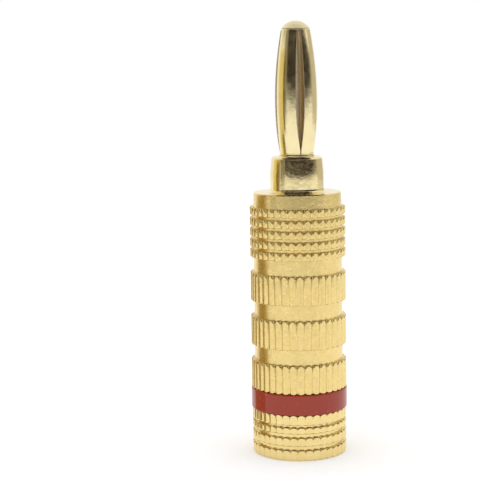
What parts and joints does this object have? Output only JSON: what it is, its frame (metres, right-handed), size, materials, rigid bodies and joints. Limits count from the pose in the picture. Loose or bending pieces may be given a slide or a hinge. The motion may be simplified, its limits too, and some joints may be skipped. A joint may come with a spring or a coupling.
{
  "type": "banana plug",
  "caption": "Gold-plated screw-type banana plug with a sprung slotted pin, fluted grip barrel, red polarity ring and knurled rear cap that unscrews.",
  "frame": {"origin": "centre of the rear cap's rear face, on which the plug stands", "axes": "+Z along the plug's axis from the rear face to the nose, -Y towards the viewer, +X to the viewer's right"},
  "size_m": [0.01, 0.01, 0.045],
  "materials": {
    "satin_gold": "gold plate over brass, fine bead-blasted satin",
    "polished_gold": "gold plate over turned brass, polished",
    "spring_gold": "gold plate over rolled spring bronze sheet",
    "red_plastic": "moulded brick-red plastic, glossy"
  },
  "bodies": {
    "plug_body": {"nose_pin": "polished_gold", "contact_collar": "polished_gold", "barrel": "satin_gold"},
    "spring_cage": {"spring_cage": "spring_gold"},
    "polarity_ring": {"polarity_ring": "red_plastic"},
    "rear_cap": {"rear_cap": "polished_gold"}
  },
  "joints": [
    {"name": "cage_spin", "type": "hinge", "parent": "plug_body", "child": "spring_cage", "pos_m": [0, 0, 0.0377], "axis": [0, 0, 1], "continuous": true},
    {"name": "cap_travel", "type": "slide", "parent": "plug_body", "child": "polarity_ring", "axis": [0, 0, -1], "range_m": [0, 0.007]},
    {"name": "cap_turn", "type": "hinge", "parent": "polarity_ring", "child": "rear_cap", "pos_m": [0, 0, 0], "axis": [0, 0, -1], "range_deg": [0, 3365]}
  ],
  "couplings": [
    {"joint": "cap_turn", "follows": "cap_travel", "rad_per_m": 8377.6}
  ]
}
